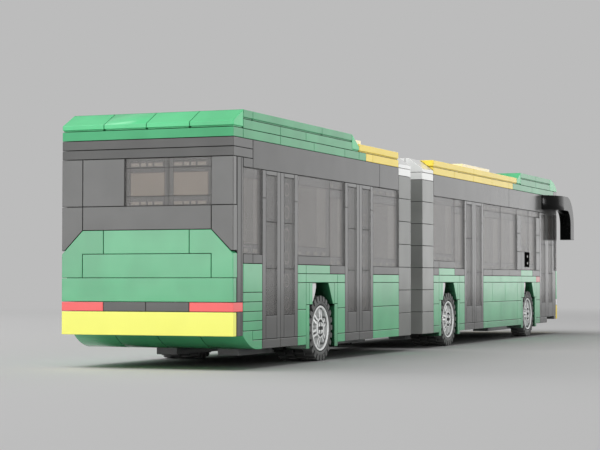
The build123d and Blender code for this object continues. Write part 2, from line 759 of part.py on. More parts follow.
tongue_root = rear_end - tongue_length
with BuildPart() as rear_chassis:
    with BuildSketch(Plane.XY.offset(floor_foot)):
        floor_sketch(tail_bay[1], rear_end + bellows_length, (rear_axle,))
    extrude(amount=floor_top - floor_foot)
    with BuildSketch(Plane.XY.offset(rail_foot)):
        rail_sketch([(rear_axle - rail_reach, rear_axle + rail_reach)])
    extrude(amount=floor_foot - rail_foot)
    bearings((rear_axle,))
    with BuildSketch(Plane.XY.offset(rail_foot)):
        with Locations(((along(tongue_root) + along(pivot_place)) / 2, 0)):
            Rectangle((pivot_place - tongue_root) * stud, 2 * pivot_boss)
        with Locations((along(pivot_place), 0)):
            Circle(pivot_boss)
            Circle(axle_radius + axle_play, mode=Mode.SUBTRACT)
    extrude(amount=plate - seam)
    with BuildSketch(Plane.XY.offset(rail_foot)):
        with Locations(((along(tongue_root) + along(rear_end)) / 2, 0)):
            Rectangle((rear_end - tongue_root) * stud, 2 * pivot_boss)
    extrude(amount=floor_foot - rail_foot)
    with BuildSketch(Plane.XY.offset(up(arch_top) + seam / 2)):
        cover_sketch((rear_axle,))
    extrude(amount=plate - seam)
save(rear_chassis, "rear_chassis")

with BuildPart() as front_chassis:
    with BuildSketch(Plane.XY.offset(floor_foot)):
        floor_sketch(front_bellows, nose_layer, (mid_place, front_place))
        with Locations(((along(pivot_place) + along(front_bellows)) / 2, 0)):
            Rectangle((front_bellows - pivot_place) * stud + seam, 2 * pivot_boss)
        with Locations((along(pivot_place), 0)):
            Circle(pivot_boss)
    extrude(amount=floor_top - floor_foot)
    with BuildSketch(Plane.XY.offset(rail_foot)):
        rail_sketch([(mid_place - arch_reach, mid_place + arch_end), (front_place - arch_end, front_place + arch_end)])
    extrude(amount=floor_foot - rail_foot)
    bearings((mid_place, front_place))
    with BuildSketch(Plane.XY.offset(rail_foot)):
        with Locations((along(pivot_place), 0)):
            Circle(axle_radius)
    extrude(amount=floor_foot - rail_foot)
    with BuildSketch(Plane.XY.offset(up(arch_top) + seam / 2)):
        cover_sketch((mid_place, front_place))
    extrude(amount=plate - seam)
save(front_chassis, "front_chassis")


# Mirrors, placed from the nose
arm_foot = up(roof_foot) - stud
head_foot = arm_foot - 2 * stud
mirror_line = wall_outer + mirror_reach
inner_line = mirror_line - mirror_depth
wall_line = wall_outer + seam / 2
arm_root, arm_bend, arm_end = bus_length - mirror_root, bus_length - mirror_bend, bus_length - mirror_ahead
with BuildPart() as mirrors:
    for side in sides:
        with BuildSketch(Plane.XY.offset(arm_foot + seam)):
            with BuildLine():
                root = (along(arm_root), side * wall_line)
                bend = (along(arm_bend), side * mirror_line)
                Polyline(
                    bend, (along(arm_end), side * mirror_line), (along(arm_end), side * inner_line),
                    (along(arm_bend), side * inner_line), (along(arm_root + 1), side * wall_line), root)
                TangentArc(bend, root, tangent=(-1, 0))
            make_face()
        extrude(amount=stud - seam)
        with BuildSketch(Plane.XZ.offset(-mirror_line if side == left else inner_line)):
            with BuildLine():
                crown = (along(arm_end), arm_foot + stud)
                brow = (along(bus_length + mirror_ahead), arm_foot - stud)
                nape = (along(bus_length), arm_foot - stud)
                fork = (along(arm_end), arm_foot + seam)
                TangentArc(crown, brow, tangent=(1, 0))
                Polyline(brow, (brow[0], head_foot), (nape[0], head_foot), nape)
                TangentArc(fork, nape, tangent=(1, 0))
                Line(fork, crown)
            make_face()
        extrude(amount=mirror_depth)
save(mirrors, "mirrors")


# Wheels
def lug_corners(centre_x):
    """Corners of a tyre's lugged outline around its axle, lug after lug."""
    base = tyre_radius - lug_height
    beside = lug_length / 2
    points = []
    for lug in range(lug_count):
        angle = 2 * pi * lug / lug_count
        for out, across in ((base, -beside), (tyre_radius, -beside), (tyre_radius, beside), (base, beside)):
            x = out * cos(angle) - across * sin(angle)
            z = out * sin(angle) + across * cos(angle)
            points.append((centre_x + x, tyre_radius + z))
    return points


def wheelset(name, axle, rows):
    """Axle, rims and tyres of one axle, with so many wheels on each end."""
    x = along(axle)
    rod_half = wheel_face - rim_recess
    with BuildPart() as rod:
        with BuildSketch(Plane.XZ.offset(-rod_half)):
            with Locations((x, tyre_radius)):
                Rectangle(2 * axle_radius, axle_arm)
                Rectangle(axle_arm, 2 * axle_radius)
                Circle(axle_radius, mode=Mode.INTERSECT)
        extrude(amount=2 * rod_half)
    save(rod, f"{name}_axle")
    inner_faces = [wheel_face - tyre_width - count * (tyre_width + twin_gap) for count in range(rows)]
    wheels = [(inner + tyre_width, left) for inner in inner_faces] + [(-inner, right) for inner in inner_faces]
    with BuildPart() as tyres:
        for place, side in wheels:
            with BuildSketch(Plane.XZ.offset(-place)):
                Polygon(*lug_corners(x), align=None)
                with Locations((x, tyre_radius)):
                    RegularPolygon(rim_radius + seam / 2, lug_count, major_radius=False, mode=Mode.SUBTRACT)
            extrude(amount=tyre_width)
    save(tyres, f"{name}_tyres")
    with BuildPart() as rims:
        for place, side in wheels:
            with BuildSketch(Plane.XZ.offset(-place + seam)):
                with Locations((x, tyre_radius)):
                    Circle(rim_radius)
                    Circle(rim_radius - rim_wall, mode=Mode.SUBTRACT)
            extrude(amount=tyre_width - 2 * seam)
            spoke_face = rim_recess if side == left else tyre_width - rim_recess - spoke_depth
            with BuildSketch(Plane.XZ.offset(-place + spoke_face)):
                with Locations((x, tyre_radius)):
                    with PolarLocations((hub_radius + rim_radius) / 2 - rim_wall / 2, spoke_count):
                        Rectangle(rim_radius - hub_radius, spoke_width)
                    with PolarLocations((hub_radius + rim_radius) / 2, spoke_count):
                        Rectangle(rim_radius - hub_radius - 2 * rim_wall, spoke_slot, mode=Mode.SUBTRACT)
            extrude(amount=spoke_depth)
            with BuildSketch(Plane.XZ.offset(-place + seam)):
                with Locations((x, tyre_radius)):
                    Circle(hub_radius)
            extrude(amount=tyre_width - 2 * seam)
            with BuildSketch(Plane.XZ.offset(-place)):
                with Locations((x, tyre_radius)):
                    Rectangle(2 * (axle_radius + axle_play), axle_arm + 2 * axle_play)
                    Rectangle(axle_arm + 2 * axle_play, 2 * (axle_radius + axle_play))
            extrude(amount=tyre_width, mode=Mode.SUBTRACT)
    save(rims, f"{name}_rims")


wheelset("rear", rear_axle, 2)
wheelset("mid", mid_place, 2)
wheelset("front", front_place, 1)
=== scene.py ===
import json
import math

import bmesh
import bpy
from mathutils import Matrix, Vector


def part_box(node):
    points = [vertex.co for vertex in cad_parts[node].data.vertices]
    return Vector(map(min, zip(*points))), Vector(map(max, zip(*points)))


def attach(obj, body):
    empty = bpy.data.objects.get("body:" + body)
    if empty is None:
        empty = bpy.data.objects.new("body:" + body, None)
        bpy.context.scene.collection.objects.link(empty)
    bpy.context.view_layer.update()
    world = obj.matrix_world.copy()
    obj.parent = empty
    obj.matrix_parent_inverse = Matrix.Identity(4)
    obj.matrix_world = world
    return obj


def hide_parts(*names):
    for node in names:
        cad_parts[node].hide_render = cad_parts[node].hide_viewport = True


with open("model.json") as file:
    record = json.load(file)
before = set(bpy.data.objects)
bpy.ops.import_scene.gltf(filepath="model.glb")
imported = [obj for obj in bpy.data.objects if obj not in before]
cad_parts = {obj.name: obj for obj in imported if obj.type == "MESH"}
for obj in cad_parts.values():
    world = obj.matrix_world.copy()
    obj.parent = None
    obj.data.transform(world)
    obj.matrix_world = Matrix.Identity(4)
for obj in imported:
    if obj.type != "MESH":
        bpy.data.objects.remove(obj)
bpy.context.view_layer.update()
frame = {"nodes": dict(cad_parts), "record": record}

MM = 0.001

# Building grid
STUD = 8.0 * MM
SEAM = 0.12 * MM

# Moulded plastic
CLOUD_SCALE = 70.0           # broad unevenness
CLOUD_EDGES = (0.35, 0.6)
GRAIN_SCALE = 2600.0
SWELL_DEPTH = 4 * MM
GRAIN_DEPTH = 0.1 * MM
PLASTIC_IOR = 1.5
PAINTED_SEAM_SHADE = 0.03             # tone left in a seam by the painted shade
SHUT_SHARE = 0.35            # openness at which the painted shade in a seam is darkest
CREVICE = 0.6 * MM           # reach of the painted shade in a seam
# Reach of the painted shade in a rim's recesses
RIM_CREVICE = 1.0 * MM
ARCH_SHADE = 14 * MM         # reach of the painted shade in a wheel arch

# Edges
WELD_REACH = 0.005 * MM
PIECE_EDGE = 0.17 * MM
CLEAR_EDGE = 0.1 * MM
FLAT_ANGLE = 0.5
SHARP_ANGLE = 35

# Clear pieces
GLASS = 0.5 * MM
LEDGE = 3.2 * MM
EDGE = 1.6 * MM
RIM_FIT = SEAM / 4
PANE_FIT = SEAM / 6
PANE_SPLIT = 0.66            # share of a pane's width in the first tone; the paler rest is a painted highlight
STUD_WIDTH = 4.8 * MM
STUD_RING = (0.42 * STUD_WIDTH, 0.5 * STUD_WIDTH)
RING_STEPS = 20
MARK_HALF = 1.8 * MM
WINDOW_MARKS = (0.4 * MM, 1.7 * MM)
STRIP_MARKS = (0.6 * MM, 1.9 * MM)
LEDGE_LINE = 0.08 * MM       # half the height of the line along a ledge
TAIL_LEDGE_LINE = 0.15 * MM
TAIL_MARKS = ((0.14, 0.34), (0.38, 0.49), (0.53, 0.66), (0.69, 0.89))
TAIL_FOOT_MARKS = (0.3 * MM, 1.4 * MM)
TAIL_HEAD_MARKS = (2.7 * MM, 1.5 * MM)
DOOR_SEAM = 0.8 * SEAM
DOOR_MARKS = (0.3, 0.7)
DOOR_MARK_HALF = 0.8 * MM
DOOR_MARK_HEIGHT = 1.1 * MM
DOOR_MARK_RISE = 0.2 * MM

# Door button
BUTTON_HEIGHT = 0.3 * MM
DOT_RADIUS = 0.65 * MM
DOT_HEIGHTS = (0.26, 0.71)
DOT_LAYER = (-0.02 * MM, 0.1 * MM)
DOT_STEPS = 20

# Wheels, in millimetres, with depths inward from the wheel's outer face
TYRE_WIDTH = 7.5
TYRE_STEPS = 72
TYRE_SHOULDER = ((8.5, 0.7), (8.75, 0.25), (9.1, 0.1), (9.9, 0.1), (10.15, 0.4))  # radius, depth
LUG_COUNT = 24
LUG_ROWS = ((0.0, 0.52), (0.48, 1.0))                                 # shares of the width
LUG_SECTIONS = ((9.9, 1.0, 0.0), (11.9, 0.8, 0.12), (12.0, 0.7, 0.25))  # radius, half width, inset
RIM_STEPS = 48
HUB_LIP = ((3.2, 0.2), (2.6, 0.2), (2.6, 1.2), (3.2, 1.2))
RIM_LATHES = (
    # corners' radius and depth, first angle, last angle
    (((8.4, 0.3), (8.2, 0.12), (7.75, 0.14), (7.5, 0.5), (7.6, 1.4), (7.6, 7.38), (8.4, 7.38)), 0, 360),
    (((3.75, 0.35), (3.55, 0.14), (3.3, 0.14), (3.15, 0.4), (3.15, 7.3), (3.75, 7.3)), 0, 360),
    (((3.2, 1.1), (2.6, 1.1), (2.6, 7.3), (3.2, 7.3)), 0, 360),
    (HUB_LIP, -38, 38),
    (HUB_LIP, 142, 218),
)
CROSS_ARM = 0.7              # half the width of the axle's arms
CROSS_REACH = 2.5
CROSS_STEPS = 6
CROSS_LAYERS = ((0.12, 0.92), (1.2, 1.0))                             # depth, scale
SPOKE_COUNT = 6
SPOKE_SIDES = (
    # radius, offset from the spoke's line, half width, front depth, back depth
    (3.1, 0.75, 0.42, 0.25, 2.4), (3.9, 0.8, 0.4, 0.45, 2.5), (7.65, 1.0, 0.42, 1.0, 3.1))
SPOKE_WEBS = (
    ((3.1, 0, 1.2, 0.3, 2.4), (4.0, 0, 0.9, 0.6, 2.4)),
    ((6.9, 0, 0.9, 1.1, 3.0), (7.7, 0, 1.3, 1.0, 3.1)))
WHEEL_PHASES = {"rear": 20, "mid": 50, "front": 5}

# Floor and backdrop
BACKDROP_TONE = (188, 188, 188)
SKY_STRENGTH = 0.12
FLOOR_REACH = 30.0
FLOOR_TONES = (0.775, 0.785)
FLOOR_GRAIN_SCALE = 900.0
FLOOR_FADE = (0.5, 1.2)      # distances between which the floor turns into the backdrop

# Camera
CAMERA_PLACE = (-0.737, -0.2613, 0.02935)
CAMERA_YAW = 22.02
CAMERA_PITCH = 1.88
CAMERA_ROLL = 0.02
CAMERA_LENS = 102.6
SENSOR_WIDTH = 36.0


# Materials
def linear(*srgb):
    """Linear colour with alpha from screen values up to 255."""
    shares = [value / 255 for value in srgb]
    return [
        share / 12.92 if share <= 0.04045 else ((share + 0.055) / 1.055) ** 2.4 for share in shares] + [1.0]


class Shader:
    """Adds shader nodes to a material or world and links them."""

    def __init__(self, owner):
        owner.use_nodes = True
        self.tree = owner.node_tree
        self.tree.nodes.clear()

    def add(self, kind, links=None, **values):
        node = self.tree.nodes.new(kind)
        for name, value in values.items():
            setattr(node, name, value)
        for socket, value in (links or {}).items():
            if isinstance(value, bpy.types.NodeSocket):
                self.tree.links.new(value, node.inputs[socket])
            else:
                node.inputs[socket].default_value = value
        return node

    def spread(self, value, low, high):
        """A value from 0 to 1 stretched between two others."""
        return self.add("ShaderNodeMapRange", {"Value": value, "To Min": low, "To Max": high}).outputs[0]

    def join(self, first, second, operation):
        return self.add("ShaderNodeMath", {0: first, 1: second}, operation=operation).outputs[0]


def plastic(
        name, color, roughness=0.14, spread=0.05, wave=0.02, alpha=1.0, grain_depth=0.03, gloss=0.5,
        shade=CREVICE):
    """Moulded plastic: pieces differ a little in tone, faces are softly uneven, and seams and recesses are
    darkened by painted shade.
    """
    material = bpy.data.materials.new(name)
    shader = Shader(material)
    place = shader.add("ShaderNodeTexCoord").outputs["Object"]
    cloud = shader.add(
        "ShaderNodeTexNoise", {"Vector": place, "Scale": CLOUD_SCALE, "Detail": 1.5}).outputs["Fac"]
    blot = shader.add("ShaderNodeMapRange", {
        "Value": cloud, "From Min": CLOUD_EDGES[0], "From Max": CLOUD_EDGES[1]}).outputs[0]
    grain = shader.add(
        "ShaderNodeTexNoise", {"Vector": place, "Scale": GRAIN_SCALE, "Detail": 2.0}).outputs["Fac"]
    piece = shader.add("ShaderNodeNewGeometry").outputs["Random Per Island"]
    tone = shader.join(
        shader.spread(piece, 1 - spread, 1 + spread), shader.spread(blot, 1 - 1.6 * spread, 1 + spread),
        "MULTIPLY")
    # Painted shade: an ambient occlusion lookup darkens the base colour in seams and recesses within the given
    # reach.
    if shade:
        openness = shader.add("ShaderNodeAmbientOcclusion", {"Distance": shade}, samples=6).outputs["AO"]
        room = shader.add("ShaderNodeMapRange", {"Value": openness, "From Min": SHUT_SHARE}).outputs[0]
        tone = shader.join(tone, shader.spread(room, PAINTED_SEAM_SHADE, 1.0), "MULTIPLY")
    tint = shader.add("ShaderNodeHueSaturation", {"Color": color, "Value": tone}).outputs[0]
    swell = shader.add(
        "ShaderNodeBump", {"Height": cloud, "Strength": wave, "Distance": SWELL_DEPTH}).outputs[0]
    speck = shader.add("ShaderNodeBump", {
        "Height": grain, "Strength": grain_depth, "Distance": GRAIN_DEPTH, "Normal": swell}).outputs[0]
    surface = shader.add("ShaderNodeBsdfPrincipled", {
        "Base Color": tint, "Roughness": shader.spread(grain, 0.85 * roughness, 1.2 * roughness),
        "Specular IOR Level": gloss, "Normal": speck, "IOR": PLASTIC_IOR, "Alpha": alpha}).outputs[0]
    shader.add("ShaderNodeOutputMaterial", {"Surface": surface})
    return material


def clear(name, color, alpha=1.0):
    """Even plastic of a see-through piece, or of what shows inside one."""
    return plastic(
        name, color, roughness=0.12, spread=0.03, wave=0.01, alpha=alpha, grain_depth=0.0, gloss=0.62, shade=0)


MATERIALS = {
    "green": plastic("green_plastic", linear(82, 175, 123), gloss=0.85),
    "dark_grey": plastic("dark_grey_plastic", linear(88, 88, 87), gloss=0.32),
    "smoky_window": clear("smoky_plastic", linear(98, 96, 94), alpha=0.25),
    "clear_strip": clear("clear_strip_plastic", linear(104, 102, 100), alpha=0.3),
    "yellow": plastic("roof_yellow_plastic", linear(255, 226, 84), spread=0.02, gloss=0.25),
    "red_lamp": plastic("red_plastic", linear(253, 108, 108), spread=0.02),
    "cream": plastic("cream_plastic", linear(252, 242, 205), spread=0.02),
    "white": plastic("white_plastic", linear(244, 245, 243), spread=0.02),
    "light_grey": plastic("light_grey_plastic", linear(200, 202, 202)),
    "bellows_grey": plastic("bellows_grey_plastic", linear(120, 122, 119), gloss=0.25),
    "chassis_grey": plastic("chassis_grey_plastic", linear(112, 114, 114)),
    "black": plastic("black_plastic", linear(9, 9, 9), roughness=0.16, gloss=0.12),
    # Painted shade darkens the rims' recesses.
    "rim_grey": plastic("rim_grey_plastic", linear(236, 238, 237), spread=0.03, shade=RIM_CREVICE),
    "axle_grey": plastic("axle_grey_plastic", linear(60, 61, 61)),
    "tyre": plastic("tyre_rubber", linear(84, 85, 84), roughness=0.45, grain_depth=0.15, gloss=0.3),
}
# Lighter copy of the green on the roof slopes that face the light: painted light.
SLOPE_LIT_GREEN = plastic("slope_lit_green_plastic", linear(90, 208, 141), gloss=0.35)
ROOF_GREEN = plastic("roof_green_plastic", linear(84, 170, 121), gloss=0.28)
TAIL_GREY = plastic("tail_grey_plastic", linear(90, 90, 89), gloss=0.6)
REAR_GREY = plastic("rear_grey_plastic", linear(78, 78, 77), gloss=0.32)
DOOR_GREY = plastic("door_grey_plastic", linear(84, 84, 83), gloss=0.5)
# Lighter copy of the bellows grey: painted light on the front bellows where the rear section shades them.
FRONT_BELLOWS_LIT_GREY = plastic("front_bellows_lit_plastic", linear(143, 145, 142), gloss=0.25)
# Painted shade: an occlusion lookup darkens the rear wheel arches deep inside.
ARCH_SHADED_GREEN = plastic("arch_shaded_green_plastic", linear(82, 175, 123), gloss=0.85, shade=ARCH_SHADE)
# Lighter copy of the green on the front section: painted reflection at grazing angles, with painted shade in
# its wheel arches.
FRONT_SHEEN_GREEN = plastic("front_sheen_green_plastic", linear(98, 184, 135), gloss=1.0, shade=ARCH_SHADE)
BUMPER_YELLOW = plastic("bumper_yellow_plastic", linear(255, 255, 124), spread=0.01)
MARKER_RED = plastic("marker_red_plastic", linear(205, 120, 120))
BUTTON_BLACK = plastic("button_black_plastic", linear(10, 10, 10), gloss=0.0)
DOT_WHITE = plastic("button_dot_paint", linear(200, 200, 198), roughness=0.3, shade=0)
NODE_MATERIALS = {
    "rear_roof_slopes": SLOPE_LIT_GREEN, "front_roof_slopes": SLOPE_LIT_GREEN,
    "rear_roof_green": ROOF_GREEN, "front_roof_green": ROOF_GREEN,
    "rear_fenders": ARCH_SHADED_GREEN, "front_fenders": FRONT_SHEEN_GREEN, "front_wall_green": FRONT_SHEEN_GREEN,
    "rear_door_frames": DOOR_GREY, "front_door_frames": DOOR_GREY,
    "rear_wall_dark": REAR_GREY, "tail_tiles_dark": TAIL_GREY, "tail_bumper": BUMPER_YELLOW,
    "front_bellows_bricks": FRONT_BELLOWS_LIT_GREY, "side_markers": MARKER_RED}

# Materials of the clear pieces, by their index in those pieces
CLEAR_MATERIALS = [
    MATERIALS["smoky_window"],
    clear("clear_ledge", linear(132, 130, 128)),
    clear("clear_stud", linear(192, 182, 172)),
    clear("clear_stud_shade", linear(78, 77, 76)),
    clear("clear_pane", linear(138, 133, 128)),
    # Paler stud marks, and the painted highlight over the last part of each window pane
    clear("clear_stud_and_glint", linear(156, 150, 144)),
    clear("clear_door_pane", linear(118, 116, 113)),
    clear("clear_tail_pane", linear(186, 172, 158)),
    clear("clear_door_plastic", linear(98, 96, 94), alpha=0.45)]
SKIN, RIM, LIGHT_MARK, DARK_MARK, WARM, STUD_AND_GLINT, DOOR, TAIL, DOOR_SKIN = range(9)

SLOTS = {part["node"]: part["material_slot"] for part in frame["record"]["subparts"]}
BODIES = {node: body for body, nodes in frame["record"]["behaviour"]["bodies"].items() for node in nodes}


def soften(piece, width=PIECE_EDGE):
    """Rounds a piece's edges a little, as moulded pieces are."""
    weld = piece.modifiers.new("weld", "WELD")
    weld.merge_threshold = WELD_REACH
    join = piece.modifiers.new("flat_faces", "DECIMATE")
    join.decimate_type = "DISSOLVE"
    join.angle_limit = math.radians(FLAT_ANGLE)
    bevel = piece.modifiers.new("bevel", "BEVEL")
    bevel.width = width
    bevel.segments = 2
    bevel.limit_method = "ANGLE"
    bevel.angle_limit = math.radians(SHARP_ANGLE)


def dress_nodes():
    """Material and softened edges for every CAD node."""
    for name, piece in frame["nodes"].items():
        piece.data.materials.clear()
        piece.data.materials.append(NODE_MATERIALS.get(name, MATERIALS[SLOTS[name]]))
        soften(piece)


# Mesh helpers
def add_box(mesh, low, high, material=0):
    """A box between two corners."""
    corners = [(x, y, z) for x in (low[0], high[0]) for y in (low[1], high[1]) for z in (low[2], high[2])]
    verts = [mesh.verts.new(corner) for corner in corners]
    for loop in ((0, 1, 3, 2), (4, 6, 7, 5), (0, 4, 5, 1), (2, 3, 7, 6), (0, 2, 6, 4), (1, 5, 7, 3)):
        mesh.faces.new([verts[index] for index in loop]).material_index = material


def add_skin(mesh, rings, closed, material=0):
    """A skin over rings of as many points each, joined end to end or capped at both ends."""
    loops = [[mesh.verts.new(point) for point in ring] for ring in rings]
    count = len(loops[0])
    for near, far in zip(loops, loops[1:] + (loops[:1] if closed else [])):
        for index in range(count):
            after = (index + 1) % count
            mesh.faces.new((near[index], near[after], far[after], far[index])).material_index = material
    if not closed:
        mesh.faces.new(loops[0][::-1]).material_index = material
        mesh.faces.new(loops[-1]).material_index = material


def add_piece(name, mesh, materials, node, edge=0.0):
    """Turns a mesh into a piece that rides where a CAD node does and replaces it."""
    bmesh.ops.recalc_face_normals(mesh, faces=mesh.faces)
    data = bpy.data.meshes.new(name)
    mesh.to_mesh(data)
    mesh.free()
    for material in materials:
        data.materials.append(material)
    piece = bpy.data.objects.new(name, data)
    bpy.context.scene.collection.objects.link(piece)
    if edge:
        soften(piece, edge)
    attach(piece, BODIES[node])
    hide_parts(node)


def solid_boxes(node):
    """Lowest and highest corners of each solid in a CAD node."""
    mesh = bmesh.new()
    mesh.from_mesh(frame["nodes"][node].data)
    bmesh.ops.remove_doubles(mesh, verts=mesh.verts, dist=WELD_REACH)
    seen, boxes = set(), []
    for start in mesh.verts:
        if start in seen:
            continue
        seen.add(start)
        group, waiting = [], [start]
        while waiting:
            vert = waiting.pop()
            group.append(vert.co.copy())
            for edge in vert.link_edges:
                other = edge.other_vert(vert)
                if other not in seen:
                    seen.add(other)
                    waiting.append(other)
        boxes.append([
            Vector([pick(point[axis] for point in group) for axis in range(3)]) for pick in (min, max)])
    mesh.free()
    return sorted(boxes, key=lambda box: tuple(box[0]))


class Face:
    """Places in a clear piece, measured across its outer face, inward from it and up."""

    def __init__(self, mesh, box, tail=False):
        self.mesh = mesh
        self.low, self.high = box
        self.wide, self.deep = (1, 0) if tail else (0, 1)
        self.out = -1 if tail or self.low.y < 0 else 1
        self.width = self.high[self.wide] - self.low[self.wide]
        self.height = self.high.z - self.low.z
        self.depth = self.high[self.deep] - self.low[self.deep]

    def point(self, across, inward, rise):
        place = Vector((0, 0, self.low.z + rise))
        place[self.wide] = self.low[self.wide] + across
        outer = self.high if self.out > 0 else self.low
        place[self.deep] = outer[self.deep] - self.out * inward
        return place

    def box(self, across, inward, rise, material):
        near, far = (self.point(*corner) for corner in zip(across, inward, rise))
        low = [min(near[axis], far[axis]) for axis in range(3)]
        high = [max(near[axis], far[axis]) for axis in range(3)]
        add_box(self.mesh, low, high, material)

    def sheet(self, inward, material, foot=0.0):
        """A box over the whole face."""
        self.box((0, self.width), inward, (foot, self.height), material)

    def line(self, rise, half):
        """A thin dark line across the whole face."""
        self.box((0, self.width), MARK, (rise - half, rise + half), DARK_MARK)

    def ring(self, across, inward, rise, radii, material):
        """A flat ring standing in the face's plane."""
        inner, outer = radii
        near, far = inward
        rings = []
        for step in range(RING_STEPS):
            angle = 2 * math.pi * step / RING_STEPS
            rings.append([
                self.point(across + radius * math.cos(angle), depth, rise + radius * math.sin(angle))
                for radius, depth in ((inner, near), (outer, near), (outer, far), (inner, far))])
        add_skin(self.mesh, rings, True, material)

    def stud_places(self):
        count = max(1, round((self.width + SEAM) / STUD))
        return [(index + 0.5) * self.width / count for index in range(count)]


# Layers inside a clear piece, by depth from its outer face
MARK = (GLASS + 4 * SEAM, GLASS + 7 * SEAM)
SHEET = (GLASS + 5 * SEAM, GLASS + 8 * SEAM)


def add_rim_boxes(face, foot, top):
    """The deep rim behind a clear panel."""
    back = (SHEET[0], face.depth)
    for across in ((0, EDGE), (face.width - EDGE, face.width)):
        face.box(across, back, (0, face.height), RIM)
    inner = (EDGE + RIM_FIT, face.width - EDGE - RIM_FIT)
    face.box(inner, back, (0, foot), RIM)
    face.box(inner, back, (face.height - top, face.height), RIM)


def add_marks(face, rise):
    """Marks where a row of studs shows through a clear piece."""
    for place in face.stud_places():
        face.box((place - MARK_HALF, place + MARK_HALF), MARK, rise, STUD_AND_GLINT)


def add_pane(face, foot, top, *materials):
    """The sheet seen within a rim, in one tone, or with a paler painted highlight beyond the split."""
    near, far = EDGE + PANE_FIT, face.width - EDGE - PANE_FIT
    middle = PANE_SPLIT * face.width if len(materials) > 1 else far
    for across, material in zip(((near, middle), (middle, far)), materials):
        face.box(across, SHEET, (foot + PANE_FIT, face.height - top - PANE_FIT), material)


def add_windows(node):
    """Panels with a ledge at the foot and the head, and studs that show through."""
    mesh = bmesh.new()
    for box in solid_boxes(node):
        face = Face(mesh, box)
        face.sheet((0, GLASS), SKIN)
        add_rim_boxes(face, LEDGE, LEDGE)
        add_pane(face, LEDGE, LEDGE, WARM, STUD_AND_GLINT)
        add_marks(face, WINDOW_MARKS)
        for rise in (LEDGE, face.height - LEDGE):
            face.line(rise, LEDGE_LINE)
    add_piece(node.replace("windows", "window_panels"), mesh, CLEAR_MATERIALS, node, CLEAR_EDGE)


def add_tail_windows():
    """Two panels between rows of clear plates."""
    node = "tail_windows"
    mesh = bmesh.new()
    for box in solid_boxes(node):
        face = Face(mesh, box, tail=True)
        levels = (0, LEDGE, face.height - LEDGE, face.height)
        for foot, top in zip(levels, levels[1:]):
            gap_foot = SEAM / 2 if foot else 0
            gap_top = SEAM / 2 if top < face.height else 0
            face.box((0, face.width), (0, GLASS), (foot + gap_foot, top - gap_top), SKIN)
        add_rim_boxes(face, LEDGE, LEDGE + EDGE)
        add_pane(face, LEDGE, LEDGE + EDGE, TAIL)
        for near, far in TAIL_MARKS:
            for rise in (TAIL_FOOT_MARKS, [face.height - drop for drop in TAIL_HEAD_MARKS]):
                face.box((near * face.width, far * face.width), MARK, rise, LIGHT_MARK)
        for rise in (LEDGE, face.height - LEDGE):
            face.line(rise, TAIL_LEDGE_LINE)
    add_piece("tail_window_panels", mesh, CLEAR_MATERIALS, node, CLEAR_EDGE)


def add_strips(node):
    """Clear plates over the windows, with studs that show through."""
    mesh = bmesh.new()
    for box in solid_boxes(node):
        face = Face(mesh, box)
        face.sheet((0, GLASS), SKIN)
        face.sheet((SHEET[0], face.depth), RIM)
        add_marks(face, STRIP_MARKS)
    add_piece(node.replace("strips", "plates"), mesh, CLEAR_MATERIALS, node, CLEAR_EDGE)


def add_door_panes(node):
    """Bricks on their side: stud shades at both ends, and round studs in every other leaf."""
    mesh = bmesh.new()
    boxes = solid_boxes(node)
    columns = sorted({round(box[0].x, 5) for box in boxes})
    for box in boxes:
        face = Face(mesh, box)
        face.sheet((0, GLASS), DOOR_SKIN, foot=SEAM)
        face.box((0, face.width), (SEAM, SHEET[0] - SEAM), (0, DOOR_SEAM), DARK_MARK)
        face.sheet((SHEET[0], face.depth), DOOR)
        if columns.index(round(box[0].x, 5)) % 2:
            rows = max(1, round(face.height / STUD))
            for row in range(rows):
                rise = (row + 0.5) * face.height / rows
                face.ring(face.width / 2, MARK, rise, STUD_RING, LIGHT_MARK)
        for foot in (DOOR_MARK_RISE, face.height - DOOR_MARK_RISE - DOOR_MARK_HEIGHT):
            for share in DOOR_MARKS:
                middle = share * face.width
                face.box(
                    (middle - DOOR_MARK_HALF, middle + DOOR_MARK_HALF), MARK, (foot, foot + DOOR_MARK_HEIGHT),
                    DARK_MARK)
    add_piece(node.replace("panes", "bricks"), mesh, CLEAR_MATERIALS, node, CLEAR_EDGE)


def add_button():
    """The black button, nearly flush with the wall, with two pale dots."""
    low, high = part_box("door_button")
    front = high.y - BUTTON_HEIGHT
    mesh = bmesh.new()
    add_box(mesh, (low.x, front, low.z), high)
    angles = [2 * math.pi * step / DOT_STEPS for step in range(DOT_STEPS)]
    outline = [(DOT_RADIUS * math.cos(angle), DOT_RADIUS * math.sin(angle)) for angle in angles]
    for share in DOT_HEIGHTS:
        centre_x, centre_z = (low.x + high.x) / 2, low.z + share * (high.z - low.z)
        rings = [[(centre_x + x, front + depth, centre_z + z) for x, z in outline] for depth in DOT_LAYER]
        add_skin(mesh, rings, False, 1)
    add_piece("door_button_tile", mesh, [BUTTON_BLACK, DOT_WHITE], "door_button")


